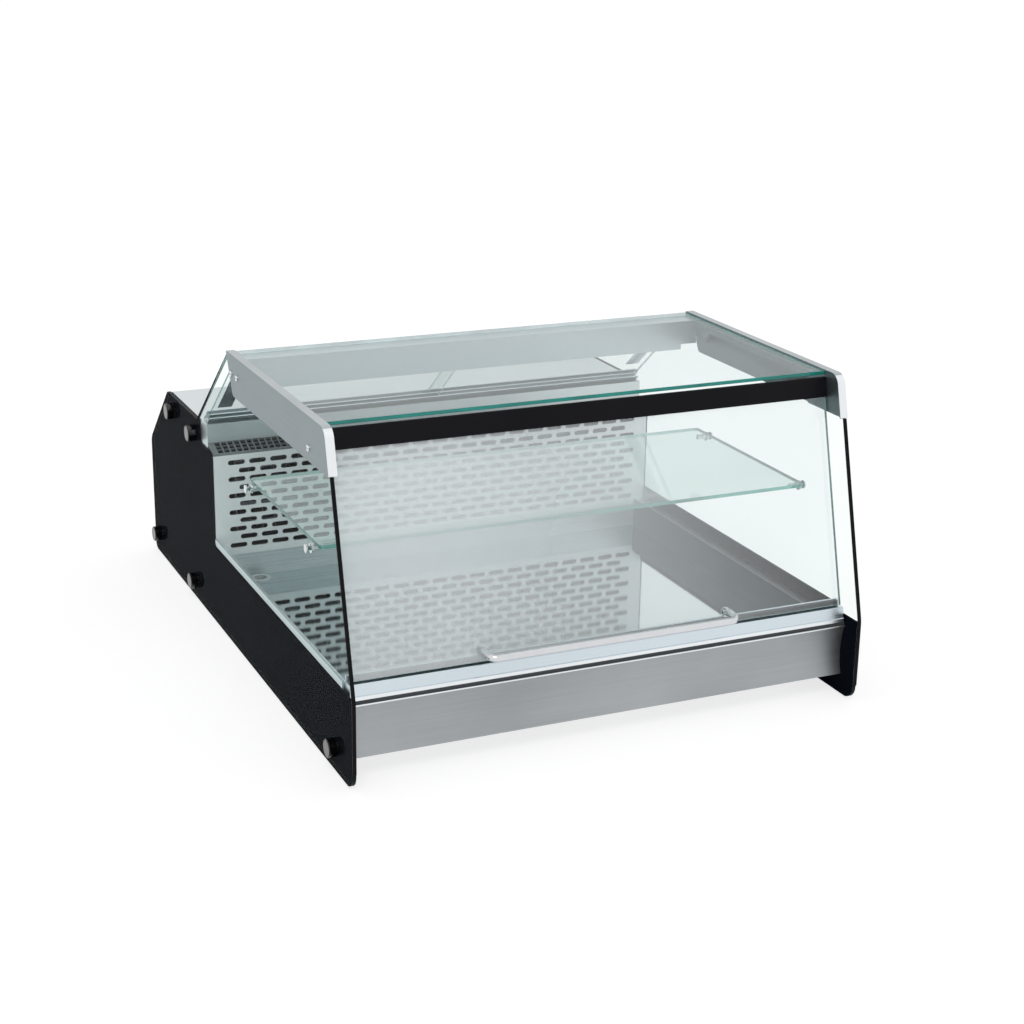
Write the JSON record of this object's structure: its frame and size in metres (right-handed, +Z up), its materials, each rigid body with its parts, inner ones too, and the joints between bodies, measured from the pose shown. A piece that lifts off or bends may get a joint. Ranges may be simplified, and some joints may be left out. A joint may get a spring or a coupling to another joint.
{
  "type": "refrigerated display case",
  "caption": "Countertop refrigerated display case with glass sides, flip-up front glass, rear sliding doors, a glass shelf and a raised rear housing.",
  "frame": {"origin": "on the counter, under the middle of the case", "axes": "+X to the customer's right, the front glass faces -Y, +Z up"},
  "size_m": [0.772, 1, 0.457],
  "materials": {
    "clear_glass": "clear float glass with a faint green tint",
    "edge_glass": "clear glass whose cut edge shows teal",
    "black_enamel": "gloss black printing behind glass",
    "black_trim": "black edge strip",
    "black_profile": "black satin coated aluminium",
    "brushed_aluminium": "brushed and clear anodised",
    "bright_aluminium": "bright anodised",
    "brushed_steel": "stainless with a grain along its length",
    "polished_steel": "bright rolled stainless",
    "chrome": "polished",
    "dark_steel": "dark grey powder coat",
    "zinc_steel": "zinc plated",
    "white_foam": "rigid foam",
    "rubber_black": "moulded",
    "seal_grey": "soft grey seal",
    "coil_aluminium": "bare fin stock",
    "copper_pipe": "bare copper tube",
    "compressor_black": "black gloss paint",
    "black_plastic": "moulded black",
    "display_dark": "dark red window",
    "lamp_white": "opal diffuser",
    "drain_white": "moulded light grey"
  },
  "bodies": {
    "case": {"left_side_glass": "clear_glass", "right_side_glass": "clear_glass", "edge_trims": "black_trim", "side_enamel": "black_enamel", "casing_sides": "dark_steel", "left_top_frame": "brushed_aluminium", "right_top_frame": "brushed_aluminium", "standoff_bolts": "chrome", "seat_profiles": "bright_aluminium", "frame_screws": "chrome", "hinge_pins": "zinc_steel", "top_glass": "edge_glass", "rear_rail": "brushed_aluminium", "lower_track": "brushed_aluminium", "lamp_channel": "bright_aluminium", "lamp_diffuser": "lamp_white", "shelf_supports": "chrome", "front_panel": "brushed_steel", "front_sill": "bright_aluminium", "sill_seals": "seal_grey", "well_tub": "polished_steel", "insulation": "white_foam", "drain_fitting": "drain_white", "base_tray": "zinc_steel", "feet": "rubber_black", "casing_screws": "zinc_steel", "perforated_panel": "polished_steel", "air_grille": "dark_steel", "housing_deck": "polished_steel", "bulkhead_panel": "zinc_steel", "evaporator_coil": "coil_aluminium", "fan_plate": "zinc_steel", "fan_frames": "black_plastic", "compressor": "compressor_black", "compressor_grommets": "rubber_black", "condenser_coil": "coil_aluminium", "condenser_fan_frame": "black_plastic", "refrigerant_pipes": "copper_pipe", "rear_cover": "dark_steel", "controller_case": "black_plastic", "controller_window": "display_dark", "switch_bodies": "black_plastic", "power_inlet": "black_plastic"},
    "front": {"front_glass": "clear_glass", "hinge_profile": "black_profile", "front_handle": "chrome", "handle_fixings": "chrome"},
    "inner_door": {"inner_door_glass": "clear_glass", "inner_door_pull": "bright_aluminium"},
    "outer_door": {"outer_door_glass": "clear_glass", "outer_door_pull": "bright_aluminium"},
    "shelf": {"shelf_glass": "edge_glass"},
    "left_fan": {"left_fan_rotor": "black_plastic"},
    "right_fan": {"right_fan_rotor": "black_plastic"},
    "condenser_fan": {"condenser_rotor": "coil_aluminium"},
    "set_key": {"key_set": "black_plastic"},
    "up_key": {"key_up": "black_plastic"},
    "down_key": {"key_down": "black_plastic"},
    "power_switch": {"power_rocker": "black_plastic"},
    "lamp_switch": {"lamp_rocker": "black_plastic"}
  },
  "joints": [
    {"name": "front_glass_hinge", "type": "hinge", "parent": "case", "child": "front", "pos_m": [0, -0.38092, 0.43922], "axis": [-1, 0, 0], "range_deg": [0, 85]},
    {"name": "inner_door_slide", "type": "slide", "parent": "case", "child": "inner_door", "axis": [1, 0, 0], "range_m": [0, 0.35]},
    {"name": "outer_door_slide", "type": "slide", "parent": "case", "child": "outer_door", "axis": [-1, 0, 0], "range_m": [0, 0.35]},
    {"name": "shelf_lift", "type": "slide", "parent": "case", "child": "shelf", "axis": [0, 0, 1], "range_m": [0, 0.12]},
    {"name": "left_fan_spin", "type": "hinge", "parent": "case", "child": "left_fan", "pos_m": [-0.17, 0.176, 0.1055], "axis": [0, 0, 1], "continuous": true},
    {"name": "right_fan_spin", "type": "hinge", "parent": "case", "child": "right_fan", "pos_m": [0.17, 0.176, 0.1055], "axis": [0, 0, 1], "continuous": true},
    {"name": "condenser_fan_spin", "type": "hinge", "parent": "case", "child": "condenser_fan", "pos_m": [0.165, 0.342, 0.138], "axis": [0, 1, 0], "continuous": true},
    {"name": "set_key_press", "type": "slide", "parent": "case", "child": "set_key", "axis": [0, -0.6632, -0.7484], "range_m": [0, 0.001], "stiffness_N_per_m": 300, "springref_m": -0.001},
    {"name": "up_key_press", "type": "slide", "parent": "case", "child": "up_key", "axis": [0, -0.6632, -0.7484], "range_m": [0, 0.001], "stiffness_N_per_m": 300, "springref_m": -0.001},
    {"name": "down_key_press", "type": "slide", "parent": "case", "child": "down_key", "axis": [0, -0.6632, -0.7484], "range_m": [0, 0.001], "stiffness_N_per_m": 300, "springref_m": -0.001},
    {"name": "power_switch_rock", "type": "hinge", "parent": "case", "child": "power_switch", "pos_m": [0.06, 0.43351, 0.24926], "axis": [1, 0, 0], "range_deg": [0, 14]},
    {"name": "lamp_switch_rock", "type": "hinge", "parent": "case", "child": "lamp_switch", "pos_m": [0.025, 0.43351, 0.24926], "axis": [1, 0, 0], "range_deg": [0, 14]}
  ]
}
